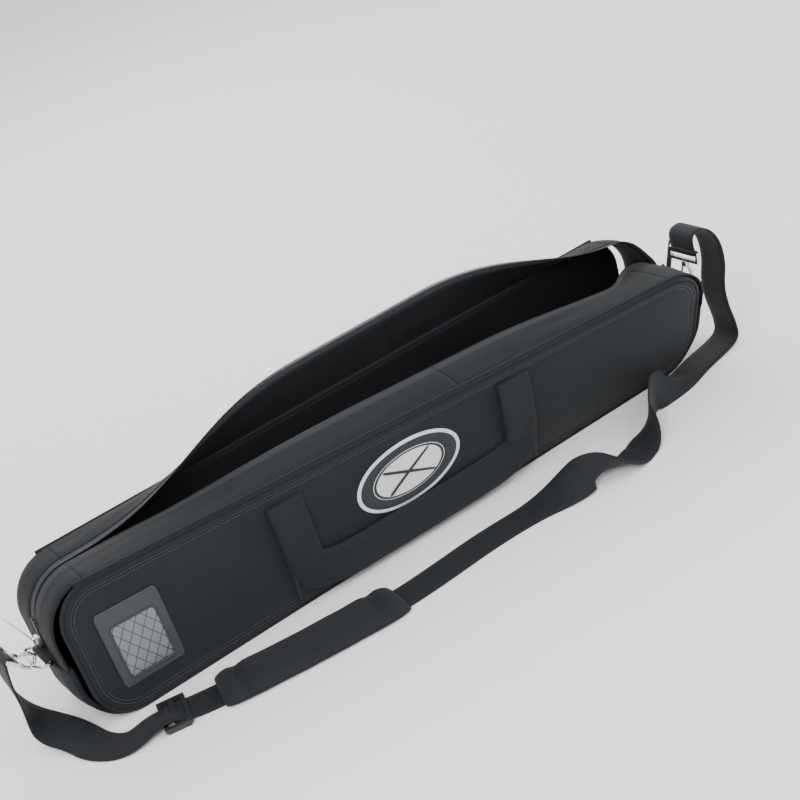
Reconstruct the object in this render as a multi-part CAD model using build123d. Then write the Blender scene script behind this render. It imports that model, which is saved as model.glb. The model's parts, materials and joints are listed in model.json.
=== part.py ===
"""Long padded bag for drum stands, standing open on its narrow bottom with its shoulder strap beside it.

Millimetres. X runs along the bag, the side with the emblem and the card window faces -Y, and Z is up.
"""

import os
from math import atan2, cos, degrees, radians, sin, tan

from build123d import *

# The two padded sides: flat panels whose top edges lean out where the bag is spread open.
HALF = 472.0
BOTTOM_Y = 70.0
CORNER = 50.0
PANEL_FOOT = 4.5
TOP_Y = {"front": (-52.0, -150.0), "back": (75.0, 45.0)}
TOP_Z = {"front": (183.0, 165.0), "back": (184.0, 182.0)}
SIDES = ("front", "back")
OUT = {"front": -1.0, "back": 1.0}

# Layers of a side, counted inwards from its outer face.
CLOTH = 1.2
SIDE_FOAM = 9.0
SIDE_LINING = 10.0
REACH = 30.0

# The gusset, the strip that joins the two sides all the way round.
GUSSET_HALF = 488.0
GUSSET_CORNER = 62.0
GUSSET_PROUD = 7.0
GUSSET_EDGE = 10.3
GUSSET_FOAM = 6.0
GUSSET_LINING = 6.8
SEAM_Z = 92.0
BOARD = (850.0, 112.0, 2.5)

# The two lips of the zipped top, which hinge at the top seams.
LIP_FROM, LIP_TO = -362.0, 424.0
LIP_START = 6.0
LIP_WIDTH = 50.0
LIP_ANGLE = {"front": 14.0, "back": 90.0}
TAPE = 8.0
COIL = 3.0

# Webbing.
WEB = 50.0
WEB_THICK = 2.4

# Carry handles.
STRIP_X = 169.0
STRIP_FOOT = 9.0
STRIP_TOP = 156.0
LOOP_GAP = 1.0

# Zip ends.
SLIDER_Y = {"left": 9.0, "right": -34.0}
SLIDER_Z = 114.0
SIGN = {"left": -1.0, "right": 1.0}

# End tabs with their D-rings and snap hooks.
TAB_Y = {"left": -4.0, "right": -72.0}
TAB_Z = {"left": 96.5, "right": 96.0}
TAB_TILT = {"left": 24.0, "right": 40.0}
TAB_LONG = 12.0
RING_DEEP = 18.0
RING_WIRE = 2.0
RING_TILT = {"left": 10.0, "right": 75.0}
HOOK_TILT = {"left": 45.0, "right": 80.0}
EYE_BAR = 38.0

# The shoulder strap's route over the floor, from the left end to the right, and the pad on it.
FLOOR_Z = WEB_THICK / 2
ROUTE = (
    (-514, -46), (-502, -94), (-474, -125), (-430, -117), (-388, -128), (-350, -139),
    (-268, -156), (-185, -169), (-104, -178), (-40, -176), (38, -171), (120, -176),
    (186, -202), (246, -206), (306, -178), (358, -136), (412, -109), (468, -88), (520, -76),
)
PAD_FROM, PAD_TO = 5, 8
BUCKLE_RUN = 3
PAD_SIZE = (76.0, 14.0)


def unit(v):
    return Vector(*v).normalized()


def wall_y(side, x, z, depth=0.0):
    """Y of a side panel's outer face at a place, or depth millimetres inside it."""
    share = (x + HALF) / (2 * HALF)
    top_y = TOP_Y[side][0] + share * (TOP_Y[side][1] - TOP_Y[side][0])
    foot_y = OUT[side] * BOTTOM_Y
    return foot_y + (top_y - foot_y) * z / top_z(side, x) - OUT[side] * depth


def top_z(side, x):
    share = (x + HALF) / (2 * HALF)
    return TOP_Z[side][0] + share * (TOP_Z[side][1] - TOP_Z[side][0])


def wedge(corners):
    """A solid between two cross-sections of the bag; corners gives a section's (y, z) points at an x."""
    ends = []
    for x in (-HALF - REACH, HALF + REACH):
        points = [Vector(x, y, z) for y, z in corners(x)]
        ends.append(Face(Wire.make_polygon(points, close=True)))
    return Solid.make_loft([end.outer_wire() for end in ends], ruled=True)


def slab(side, depth_out, depth_in, low=0.0, high=205.0):
    """The layer of a side between two depths."""
    return wedge(
        lambda x: (
            (wall_y(side, x, low, depth_out), low),
            (wall_y(side, x, low, depth_in), low),
            (wall_y(side, x, high, depth_in), high),
            (wall_y(side, x, high, depth_out), high),
        )
    )


def cavity(depth, low=-5.0, high=205.0):
    """The space between the two sides, depth inside each outer face."""
    return wedge(
        lambda x: (
            (wall_y("front", x, low, depth), low),
            (wall_y("back", x, low, depth), low),
            (wall_y("back", x, high, depth), high),
            (wall_y("front", x, high, depth), high),
        )
    )


def outline(side, half, foot, proud, radius, inset=0.0):
    """The bag's rounded outline seen from the side, as a prism across its width."""
    left_top = TOP_Z[side][0] + proud - inset
    right_top = TOP_Z[side][1] + proud - inset
    reach = half - inset
    points = ((-reach, foot + inset), (reach, foot + inset), (reach, right_top), (-reach, left_top))
    face = Plane.XZ * make_face(Polyline(*points, close=True))
    face = fillet(face.vertices(), radius - inset)
    return extrude(face, amount=260, both=True)


def side_layer(side, depth_out, depth_in):
    return slab(side, depth_out, depth_in) & outline(side, HALF, PANEL_FOOT, 0.0, CORNER)


def gusset_ring(side, depth_out, depth_in):
    outer = outline(side, GUSSET_HALF, 0.0, GUSSET_PROUD, GUSSET_CORNER, depth_out)
    inner = outline(side, GUSSET_HALF, 0.0, GUSSET_PROUD, GUSSET_CORNER, depth_in)
    return outer - inner


def bottom_layer(depth_out, depth_in):
    """The bottom gusset: one strip under the bag and up both ends to the zip."""
    keep = Pos(0, 0, SEAM_Z / 2) * Box(1200, 600, SEAM_Z)
    return gusset_ring("back", depth_out, depth_in) & keep & cavity(GUSSET_EDGE)


def zip_end(side, end, depth_out, depth_in):
    """The part of a zip gusset half that turns the top corner and runs down one end."""
    reach = {"left": 60.0, "right": 70.0}[end]
    x_in = LIP_FROM - 4 if end == "left" else LIP_TO + 4
    x_out = SIGN[end] * 560
    width = abs(x_out - x_in)
    keep = Pos((x_in + x_out) / 2, 0, SEAM_Z + 100.4) * Box(width, 600, 200)
    return gusset_ring(side, depth_out, depth_in) & keep & slab(side, GUSSET_EDGE, reach, 0, 215)


def piping(side):
    """The covered cord in the seam round the edge of a side."""
    grow = 2.4
    foot = PANEL_FOOT - grow
    corners = [Vector(1, wall_y(side, 0, foot, 4.0), foot)]
    for sx, top in ((1, 0), (1, 1), (-1, 1), (-1, 0)):
        x = sx * (HALF + grow)
        z = top_z(side, sx * HALF) + grow if top else foot
        corners.append(Vector(x, wall_y(side, sx * HALF, z, 4.0), z))
    corners.append(Vector(-1, wall_y(side, 0, foot, 4.0), foot))
    path = FilletPolyline(*corners, radius=CORNER + grow)
    start = Plane(origin=path @ 0, z_dir=path % 0)
    return sweep(start * Circle(2.0), path=path)


def lip_plane(side):
    """Origin on the hinge line above the top seam, x along it, y across the lip, z out of its face."""
    ends = []
    for x in (-HALF, HALF):
        ends.append(Vector(x, wall_y(side, x, top_z(side, x), 5.0), top_z(side, x) + 4.0))
    along = (ends[1] - ends[0]).normalized()
    angle = radians(LIP_ANGLE[side])
    across = Vector(0, -OUT[side] * cos(angle), sin(angle))
    across = (across - along * across.dot(along)).normalized()
    middle = (ends[0] + ends[1]) * 0.5
    return Plane(origin=middle, x_dir=along, z_dir=along.cross(across)), along, middle


def lip_piece(side, near, far, low, high):
    """A strip of a lip, between two distances from the hinge line and two heights off its middle."""
    plane, _, _ = lip_plane(side)
    if side == "back":
        low, high = -high, -low
    long = LIP_TO - LIP_FROM
    box = Box(long, far - near, high - low)
    sign = 1.0 if plane.y_dir.dot(Vector(0, -OUT[side], 1)) > 0 else -1.0
    return plane * Pos((LIP_TO + LIP_FROM) / 2, sign * (near + far) / 2, (low + high) / 2) * box


def strip_on_side(side, x, depth_out, depth_in, wide, low, high):
    """Flat webbing or a patch sewn to the outer face of a side."""
    keep = Pos(x, 0, (low + high) / 2) * Box(wide, 600, high - low)
    return slab(side, depth_out, depth_in, 0, 205) & keep


def handle_strips(side):
    depth = -WEB_THICK
    strips = [
        strip_on_side(side, sx * STRIP_X, depth, 0.0, WEB, STRIP_FOOT, STRIP_TOP) for sx in (-1, 1)
    ]
    return Compound(children=strips)


def handle_axis(side):
    """The line across the tops of a handle's two sewn strips, where the loop swings."""
    ends = []
    for x in (-STRIP_X, STRIP_X):
        ends.append(Vector(x, wall_y(side, x, STRIP_TOP, -WEB_THICK - LOOP_GAP - 1.2), STRIP_TOP))
    return ends


def handle_loop(side):
    """The free part of a carry handle, hanging down over its strips and along the foot of the side."""
    half = STRIP_X + WEB / 2
    outer = Polyline((-half, 154), (-half, 48), (-half + 40, 12), (half - 40, 12), (half, 48), (half, 154))
    inner_half = STRIP_X - WEB / 2
    inner = Polyline((inner_half, 154), (inner_half, 80), (inner_half - 24, 60), (-inner_half + 24, 60),
                     (-inner_half, 80), (-inner_half, 154))
    shape = make_face(Plane.XZ * (outer + inner + Line((-half, 154), (-inner_half, 154))
                                  + Line((half, 154), (inner_half, 154))))
    prism = extrude(shape, amount=260, both=True)
    near = -WEB_THICK - LOOP_GAP
    return slab(side, near - WEB_THICK, near, 0, 205) & prism


def emblem():
    """A plain oval patch with a raised rim, woven badge size."""
    oval = Plane.XZ * Pos(0, 104) * Rot(0, 0, 4) * Ellipse(70, 46)
    prism = extrude(oval, amount=260, both=True)
    return slab("front", -1.8, 0.0, 0, 205) & prism


def card_window(part):
    """The framed card window low on the left: its frame, or the printed pane in it."""
    x, z, wide, high = -396.0, 90.0, 84.0, 106.0
    outer = Plane.XZ * Pos(x, z) * RectangleRounded(wide, high, 5)
    inner = Plane.XZ * Pos(x, z - 7) * RectangleRounded(wide - 24, high - 34, 2)
    hole = extrude(inner, amount=260, both=True)
    block = extrude(outer, amount=260, both=True)
    if part == "frame":
        return slab("front", -2.2, 0.0, 0, 205) & (block - hole)
    return slab("front", -1.2, 0.0, 0, 205) & hole


def zip_end_tape(end, side, what):
    """Tape or coil of one zip half where it runs down an end of the bag."""
    sign = SIGN[end]
    y = SLIDER_Y[end] + OUT[side] * (3.2 if end == "left" else 9.0)
    low, high = SEAM_Z + 11, 142.0
    if what == "tape":
        return Pos(sign * (GUSSET_HALF + 0.4), y + OUT[side] * 3.0, (low + high) / 2) * Box(0.8, 8, high - low)
    return Pos(sign * (GUSSET_HALF + 1.8), y, (low + high) / 2) * Box(2.0, 2.6, high - low)


def slider(end):
    """Cast zip slider with the bridge that carries its pull."""
    sign = SIGN[end]
    body = fillet(Box(5, 13, 16).edges().filter_by(Axis.X), 3)
    bridge = Pos(sign * 4.5, 0, 0) * (Box(4.6, 4, 12) - Pos(-sign * 0.8, 0, 0) * Box(3.2, 4, 6))
    both = body + bridge
    return Pos(sign * (GUSSET_HALF + 5.6), SLIDER_Y[end], SLIDER_Z) * both


def pull(end):
    """Flat pull tab that swings on the slider's bridge."""
    sign = SIGN[end]
    leaf = Pos(0, 0, 31) * fillet(Box(1.6, 9, 44).edges().filter_by(Axis.X), 2.5)
    leaf -= Pos(0, 0, 46) * Rot(0, 90, 0) * Cylinder(2.4, 6)
    neck = [Pos(0, sy * 3.4, 5) * Box(1.6, 1.6, 12) for sy in (-1, 1)]
    pin = Rot(90, 0, 0) * Cylinder(0.8, 8.4)
    tab = leaf + neck[0] + neck[1] + pin
    return Pos(*pull_pivot(end)) * Rot(0, sign * 24, 0) * tab


def pull_pivot(end):
    return (SIGN[end] * (GUSSET_HALF + 9.7), SLIDER_Y[end], SLIDER_Z)


def end_frame(end, tilt):
    """A local frame at an end tab: x points away from the bag, tilted up by some degrees."""
    sign = SIGN[end]
    x_dir = (sign * cos(radians(tilt)), 0, sin(radians(tilt)))
    return x_dir


def end_plane(end, origin, tilt):
    x_dir = end_frame(end, tilt)
    return Plane(origin=origin, x_dir=x_dir, z_dir=Vector(*x_dir).cross(Vector(0, 1, 0)))


def tab_tip(end):
    """Where the end tab folds round its D-ring."""
    x = SIGN[end] * (GUSSET_HALF + 0.4)
    x_dir = end_frame(end, TAB_TILT[end])
    return Vector(x, TAB_Y[end], TAB_Z[end]) + Vector(*x_dir) * TAB_LONG


def end_tab(end):
    """Folded webbing that holds the D-ring: two layers and the eye round the ring's bar."""
    origin = Vector(SIGN[end] * (GUSSET_HALF + 0.4), TAB_Y[end], TAB_Z[end])
    plane = end_plane(end, origin, TAB_TILT[end])
    flat = Pos((TAB_LONG - 2) / 2 + 1, 0, 0) * Box(TAB_LONG - 4, 50, 4.8)
    eye = Pos(TAB_LONG, 0, 0) * Rot(90, 0, 0) * Cylinder(4.7, 50)
    hole = Pos(TAB_LONG, 0, 0) * Rot(90, 0, 0) * Cylinder(RING_WIRE + 0.3, 60)
    return plane * (flat + eye - hole)


def d_ring(end):
    """Wire D-ring: a straight bar in the tab and a bow outside it."""
    half = 30.0
    shoulder = RING_DEEP - 7
    bow = FilletPolyline(
        (0, -half), (0, half), (shoulder, half), (RING_DEEP, half - 11), (RING_DEEP, -half + 11),
        (shoulder, -half), radius=4, close=True,
    )
    plane = end_plane(end, tab_tip(end), RING_TILT[end])
    path = plane * bow
    start = Plane(origin=path @ 0, z_dir=path % 0)
    return sweep(start * Circle(RING_WIRE), path=path)


def ring_tip(end):
    return tab_tip(end) + Vector(*end_frame(end, RING_TILT[end])) * RING_DEEP


def hook_plane(end):
    return end_plane(end, ring_tip(end), HOOK_TILT[end])


def hook_snap(end):
    """Snap hook, without its gate: a thick bent rod and the collar that turns on the eye."""
    rod = FilletPolyline((8, 6.5), (3, 9.5), (-5, 8), (-8, 0), (-5, -8), (5, -9), (13, -5), (18, 0), radius=3)
    start = Plane(origin=rod @ 0, z_dir=rod % 0)
    bend = sweep(start * Circle(2.3), path=rod)
    collar = Pos(20.5, 0, 0) * Rot(0, 90, 0) * Cylinder(5.0, 6)
    return hook_plane(end) * Rot(90, 0, 0) * (bend + collar)


def hook_gate(end):
    """Sprung lever that closes the hook's mouth."""
    bar = Pos(13, 4.9, 0) * Rot(0, 0, -18) * Box(8, 2.6, 3.4)
    return hook_plane(end) * Rot(90, 0, 0) * bar


def hook_gate_pivot(end):
    return hook_plane(end).from_local_coords(Vector(15.5, 0, 4.1))


def hook_eye(end):
    """Swivel stem and the flat rectangular eye that the strap's end is sewn round."""
    stem = Pos(25.3, 0, 0) * Rot(0, 90, 0) * Cylinder(3.0, 3.6)
    frame = Box(16, 60, 5) - Box(8, 52, 8)
    return hook_plane(end) * (stem + Pos(EYE_BAR - 6, 0, 0) * frame)


def eye_centre(end):
    return hook_plane(end).from_local_coords(Vector(EYE_BAR, 0, 0))


def ribbon(stations):
    """Flat webbing through hand-set stations, each a centre, the way its width points and the way it runs."""
    centres = [Vector(*c) for c, _, _ in stations]
    wires = []
    for i, (_, wide, runs) in enumerate(stations):
        ahead = Vector(*runs)
        across = Vector(*wide)
        across = (across - ahead * (across.dot(ahead) / ahead.dot(ahead))).normalized()
        normal = ahead.cross(across).normalized() * (WEB_THICK / 2)
        half = across * (WEB / 2)
        p = centres[i]
        wires.append(
            Wire.make_polygon([p + half + normal, p - half + normal, p - half - normal, p + half - normal])
        )
    return Solid.make_loft(wires, ruled=True)


def strap_drop(end):
    """The strap from a hook's eye down to the floor; at the right end it first arches over."""
    eye = eye_centre(end)
    if end == "left":
        (x, y), (x2, y2) = ROUTE[0], ROUTE[1]
        return ribbon((
            ((eye.X - 5, eye.Y, eye.Z - 6), (0, 1, 0), (-0.3, 0, -1)),
            ((eye.X - 7, -1, 84), (0, 1, 0), (0, 0, -1)),
            ((eye.X - 3, -6, 44), (0.25, 1, 0), (0.2, -0.2, -1)),
            ((-536, -20, 14), (0.7, 0.8, 0), (0.4, -0.7, -0.6)),
            ((x, y, FLOOR_Z), (y - y2, x2 - x, 0), (x2 - x, y2 - y, 0)),
        ))
    (x2, y2), (x, y) = ROUTE[-2], ROUTE[-1]
    return ribbon((
        ((x, y, FLOOR_Z), (y2 - y, x - x2, 0), (x - x2, y - y2, 0)),
        ((x + 24, y + 2, 16), (0, 1, 0), (0.3, 0, 1)),
        ((x + 21, y + 4, 70), (0, 1, 0), (0, 0, 1)),
        ((x + 34, y + 4, 128), (0, 1, 0), (0.2, 0, 1)),
        ((x + 30, y + 4, 165), (0, 1, 0), (-0.4, 0, 1)),
        ((x + 10, y + 4, 188), (0, 1, 0), (-1, 0, 0)),
        ((eye.X, eye.Y, eye.Z + 7), (0, 1, 0), (0, 0, -1)),
    ))


def route_radii(points):
    """Each corner's arc: 0.45 of its shorter run over the tangent of half its turn."""
    radii = []
    for a, b, c in zip(points, points[1:], points[2:]):
        one, two = Vector(*b) - Vector(*a), Vector(*c) - Vector(*b)
        turn = radians(one.get_angle(two))
        radii.append(0.45 * min(one.length, two.length) / tan(turn / 2))
    return radii


def floor_path(first, last):
    """Straight runs joined by tangent arcs along part of the route."""
    radii = route_radii(ROUTE)[first:last - 1]
    return FilletPolyline(*ROUTE[first:last + 1], radius=radii)


def floor_strap():
    """Webbing lying flat on the floor along the whole route."""
    path = floor_path(0, len(ROUTE) - 1)
    start = Plane(origin=path @ 0, z_dir=path % 0, x_dir=(0, 0, 1))
    strap = Pos(0, 0, FLOOR_Z) * sweep(start * Rectangle(WEB_THICK, WEB), path=path)
    print("strap radii", [round(r) for r in route_radii(ROUTE)])
    print("strap length", round(path.length), "volume", round(strap.volume),
          "section times length", round(WEB * WEB_THICK * path.length))
    return strap


def pad_path():
    return floor_path(PAD_FROM, PAD_TO)


def shoulder_pad():
    """Padded sleeve over the strap, with a channel under it for the strap."""
    wide, high = PAD_SIZE
    path = pad_path()
    start = Plane(origin=path @ 0, z_dir=path % 0, x_dir=(0, 0, 1))
    section = Pos(high / 2, 0) * RectangleRounded(high, wide, 4)
    section -= Pos(1.2, 0) * Rectangle(3.2, WEB + 2.4)
    return sweep(start * section, path=path)


def pad_sleeve():
    """Webbing keeper sewn over the pad's length."""
    path = pad_path()
    start = Plane(origin=path @ 0, z_dir=path % 0, x_dir=(0, 0, 1))
    return sweep(start * Pos(PAD_SIZE[1] + 0.7, 0) * Rectangle(1.4, WEB), path=path)


def triglide():
    """Three-bar slide buckle over the strap."""
    frame = Pos(0, 0, 4.9) * Box(36, 65, 4.2)
    for x in (-8.5, 8.5):
        frame -= Pos(x, 0, 5) * Box(9, 53, 9)
    legs = [Pos(0, sy * 29.8, 1.5) * Box(30, 5.2, 3.0) for sy in (-1, 1)]
    frame = frame + legs[0] + legs[1]
    a, b = (Vector(*p) for p in ROUTE[BUCKLE_RUN:BUCKLE_RUN + 2])
    angle = degrees(atan2(b.Y - a.Y, b.X - a.X))
    middle = (a + b) * 0.5
    return Pos(middle.X, middle.Y, 0) * Rot(0, 0, angle) * frame


def end_fold(end):
    """The strap's end turned round the eye's outer bar and sewn back on itself."""
    plane = hook_plane(end)
    return plane * Pos(EYE_BAR, 0, 0) * (Box(5.4, 50, 9.0) - Box(4.2, 60, 5.4))


def collect():
    parts = {}
    for side in SIDES:
        parts[side + "_shell"] = side_layer(side, 0.0, CLOTH)
        parts[side + "_foam"] = side_layer(side, CLOTH, SIDE_FOAM)
        parts[side + "_lining"] = side_layer(side, SIDE_FOAM, SIDE_LINING)
        parts[side + "_piping"] = piping(side)
        parts[side + "_lip"] = lip_piece(side, LIP_START, LIP_WIDTH, 1.0, 2.2)
        parts[side + "_lip_foam"] = lip_piece(side, LIP_START, LIP_WIDTH, -2.2, 1.0)
        parts[side + "_lip_lining"] = lip_piece(side, LIP_START, LIP_WIDTH, -3.0, -2.2)
        parts[side + "_zip_tape"] = lip_piece(side, LIP_WIDTH, LIP_WIDTH + TAPE, 0.8, 1.8)
        parts[side + "_zip_coil"] = lip_piece(side, LIP_WIDTH + TAPE, LIP_WIDTH + TAPE + COIL, 0.0, 2.6)
        parts[side + "_handle_strips"] = handle_strips(side)
        parts[side + "_handle_loop"] = handle_loop(side)
        for end in ("left", "right"):
            parts[f"{end}_{side}_corner"] = zip_end(side, end, 0.0, GUSSET_FOAM)
    parts["bottom_gusset"] = bottom_layer(0.0, CLOTH)
    parts["bottom_foam"] = bottom_layer(CLOTH, GUSSET_FOAM)
    parts["bottom_lining"] = bottom_layer(GUSSET_FOAM, GUSSET_LINING)
    long, wide, thick = BOARD
    parts["base_board"] = Pos(0, 0, GUSSET_LINING + 0.1 + thick / 2) * Box(long, wide, thick)
    parts["emblem_patch"] = emblem()
    parts["window_frame"] = card_window("frame")
    parts["window_pane"] = card_window("pane")
    for end in ("left", "right"):
        tapes = [zip_end_tape(end, side, "tape") for side in SIDES]
        coils = [zip_end_tape(end, side, "coil") for side in SIDES]
        parts[end + "_zip_end_tapes"] = Compound(children=tapes)
        parts[end + "_zip_end_coils"] = Compound(children=coils)
        parts[end + "_zip_slider"] = slider(end)
        parts[end + "_zip_pull"] = pull(end)
        parts[end + "_tab"] = end_tab(end)
        parts[end + "_d_ring"] = d_ring(end)
        parts[end + "_hook"] = hook_snap(end)
        parts[end + "_hook_gate"] = hook_gate(end)
        parts[end + "_hook_eye"] = hook_eye(end)
        parts[end + "_strap_fold"] = end_fold(end)
        parts[end + "_strap_drop"] = strap_drop(end)
    parts["shoulder_strap"] = floor_strap()
    parts["shoulder_pad"] = shoulder_pad()
    parts["pad_sleeve"] = pad_sleeve()
    parts["triglide"] = triglide()
    return parts


def main():
    os.makedirs("parts", exist_ok=True)
    for side in SIDES:
        plane, along, middle = lip_plane(side)
        print(side, "lip hinge", tuple(middle), tuple(along))
        print(side, "handle axis", [tuple(p) for p in handle_axis(side)])
    for end in ("left", "right"):
        print(end, "pull pivot", pull_pivot(end), "gate pivot", tuple(hook_gate_pivot(end)))
        print(end, "tab tip", tuple(tab_tip(end)), "ring tip", tuple(ring_tip(end)), "eye", tuple(eye_centre(end)))
    for name, part in collect().items():
        export_step(part, f"parts/{name}.step")


main()
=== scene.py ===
import json
from math import cos, exp, hypot, pi, radians, sin, sqrt

import bmesh
import bpy
from mathutils import Matrix, Vector, noise

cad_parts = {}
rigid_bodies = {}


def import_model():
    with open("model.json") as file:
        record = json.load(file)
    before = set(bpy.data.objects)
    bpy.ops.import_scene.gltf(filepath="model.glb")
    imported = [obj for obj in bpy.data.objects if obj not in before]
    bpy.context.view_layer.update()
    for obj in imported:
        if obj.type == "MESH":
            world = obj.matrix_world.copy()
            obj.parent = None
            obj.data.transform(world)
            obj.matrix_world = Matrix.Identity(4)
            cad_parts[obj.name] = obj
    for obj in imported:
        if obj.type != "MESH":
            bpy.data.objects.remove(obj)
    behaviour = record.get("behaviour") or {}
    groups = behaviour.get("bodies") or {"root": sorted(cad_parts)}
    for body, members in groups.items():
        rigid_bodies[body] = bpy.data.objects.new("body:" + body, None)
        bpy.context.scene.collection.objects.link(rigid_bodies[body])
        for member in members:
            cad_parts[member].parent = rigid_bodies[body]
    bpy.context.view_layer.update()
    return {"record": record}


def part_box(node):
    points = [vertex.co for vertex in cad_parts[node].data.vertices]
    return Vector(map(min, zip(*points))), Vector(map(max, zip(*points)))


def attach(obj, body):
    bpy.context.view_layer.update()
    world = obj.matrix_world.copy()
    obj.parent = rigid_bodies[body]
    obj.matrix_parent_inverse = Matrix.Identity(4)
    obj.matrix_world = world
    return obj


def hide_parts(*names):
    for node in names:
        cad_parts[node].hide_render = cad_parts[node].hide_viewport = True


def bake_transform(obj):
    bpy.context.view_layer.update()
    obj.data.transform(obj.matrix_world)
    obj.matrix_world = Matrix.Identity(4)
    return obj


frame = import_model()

# ---------------------------------------------------------------------------
# The place it stands in: a plain pale floor, broad soft lamps, and a camera that
# looks down along the bag from its left front, leaning to one side.

camera = bpy.data.objects.new("camera", bpy.data.cameras.new("camera"))
bpy.context.collection.objects.link(camera)
camera.data.lens = 81.0
camera.data.sensor_width = 36.0
camera.data.clip_end = 30.0
yaw, pitch, roll = radians(24.04), radians(25.99), radians(-19.83)
forward = Vector((sin(yaw) * cos(pitch), cos(yaw) * cos(pitch), -sin(pitch)))
level = Vector((cos(yaw), -sin(yaw), 0.0))
raised = level.cross(forward)
camera_x = level * cos(roll) + raised * sin(roll)
camera_y = raised * cos(roll) - level * sin(roll)
axes = Matrix((camera_x, camera_y, -forward)).transposed().to_4x4()
camera.matrix_world = Matrix.Translation((-0.80472, -1.94711, 1.18703)) @ axes
bpy.context.scene.camera = camera

floor_mesh = bpy.data.meshes.new("floor")
floor_mesh.from_pydata([(-9, -9, 0), (9, -9, 0), (9, 9, 0), (-9, 9, 0)], [], [(0, 1, 2, 3)])
floor = bpy.data.objects.new("floor", floor_mesh)
bpy.context.collection.objects.link(floor)
floor_paint = bpy.data.materials.new("pale floor")
floor_paint.use_nodes = True
floor_paint.node_tree.nodes["Principled BSDF"].inputs["Base Color"].default_value = (0.93, 0.93, 0.93, 1)
floor_paint.node_tree.nodes["Principled BSDF"].inputs["Roughness"].default_value = 0.9
floor_mesh.materials.append(floor_paint)

sky = bpy.data.worlds.new("soft studio")
sky.use_nodes = True
sky.node_tree.nodes["Background"].inputs["Color"].default_value = (1, 1, 1, 1)
sky.node_tree.nodes["Background"].inputs["Strength"].default_value = 1.2
bpy.context.scene.world = sky


def lamp(name, place, aim, size, power):
    light = bpy.data.lights.new(name, "AREA")
    light.size = size
    light.energy = power
    holder = bpy.data.objects.new(name, light)
    bpy.context.collection.objects.link(holder)
    facing = (Vector(aim) - Vector(place)).to_track_quat("-Z", "Y").to_matrix().to_4x4()
    holder.matrix_world = Matrix.Translation(place) @ facing


MIDDLE = (0, 0, 0.1)
lamp("key", (-1.6, -2.2, 2.4), MIDDLE, 1.6, 75)
lamp("fill", (2.2, -1.4, 1.6), MIDDLE, 1.8, 30)
lamp("back", (0.4, 2.4, 2.2), MIDDLE, 1.6, 45)


# ---------------------------------------------------------------------------
# Shoulder strap: 50 mm ribbed nylon webbing, one length from the left hook's eye to the
# right one. It drops to the floor, lies along the bag, turns over twice, climbs again and
# arches over to come down on the right hook.


class Term:
    """A shader value that can be used in sums; every operator adds a Math node."""

    def __init__(self, tree, socket):
        self.tree = tree
        self.socket = socket

    def join(self, operation, first, second=None):
        node = self.tree.nodes.new("ShaderNodeMath")
        node.operation = operation
        for slot, value in enumerate((first, second)):
            if isinstance(value, Term):
                self.tree.links.new(value.socket, node.inputs[slot])
            elif value is not None:
                node.inputs[slot].default_value = value
        return Term(self.tree, node.outputs[0])

    def __add__(self, other):
        return self.join("ADD", self, other)

    def __sub__(self, other):
        return self.join("SUBTRACT", self, other)

    def __mul__(self, other):
        return self.join("MULTIPLY", self, other)

    def __truediv__(self, other):
        return self.join("DIVIDE", self, other)

    def __rsub__(self, other):
        return self.join("SUBTRACT", other, self)

    def __gt__(self, other):
        return self.join("GREATER_THAN", self, other)

    def __lt__(self, other):
        return self.join("LESS_THAN", self, other)

    def wave(self):
        return self.join("SINE", self)

    def size(self):
        return self.join("ABSOLUTE", self)

    def least(self, other):
        return self.join("MINIMUM", self, other)

    def zigzag(self, reach):
        return self.join("PINGPONG", self, reach)

    __radd__ = __add__
    __rmul__ = __mul__


class Finish:
    """One procedural material, with a shorthand for adding nodes to it."""

    def __init__(self, name, **constants):
        self.material = bpy.data.materials.new(name)
        self.material.use_nodes = True
        self.tree = self.material.node_tree
        self.skin = self.tree.nodes["Principled BSDF"]
        for key, value in constants.items():
            self.skin.inputs[key.replace("_", " ")].default_value = value

    def node(self, kind, settings=None, sockets=None, out=0):
        node = self.tree.nodes.new(kind)
        for key, value in (settings or {}).items():
            if key == "stops":
                for stop, (place, shade) in zip(node.color_ramp.elements, value):
                    stop.position = place
                    stop.color = (shade, shade, shade, 1)
            else:
                setattr(node, key, value)
        for key, value in (sockets or {}).items():
            self.feed(node.inputs[key], value)
        return Term(self.tree, node.outputs[out])

    def feed(self, socket, value):
        if isinstance(value, Term):
            self.tree.links.new(value.socket, socket)
        else:
            socket.default_value = value

    def cloth_place(self, mapped=True):
        """Distance along and across the cloth, in metres."""
        if mapped:
            place = self.node("ShaderNodeUVMap", {"uv_map": "cloth"})
        else:
            place = self.node("ShaderNodeTexCoord", out=3)
        split = self.tree.nodes.new("ShaderNodeSeparateXYZ")
        self.tree.links.new(place.socket, split.inputs[0])
        return place, Term(self.tree, split.outputs[0]), Term(self.tree, split.outputs[1])

    def cloud(self, place, scale, detail=2.0):
        return self.node(
            "ShaderNodeTexNoise", None, {"Vector": place, "Scale": scale, "Detail": detail, "Roughness": 0.55}
        )

    def blend_colours(self, share, first, second):
        node = self.tree.nodes.new("ShaderNodeMix")
        node.data_type = "RGBA"
        self.feed(node.inputs[0], share)
        self.feed(node.inputs[6], first)
        self.feed(node.inputs[7], second)
        return Term(self.tree, node.outputs[2])

    def bump(self, height, distance, strength=1.0):
        return self.node(
            "ShaderNodeBump", None, {"Height": height, "Distance": distance, "Strength": strength}
        )


def shade(colour, factor):
    return (colour[0] * factor, colour[1] * factor, colour[2] * factor, 1.0)


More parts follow.
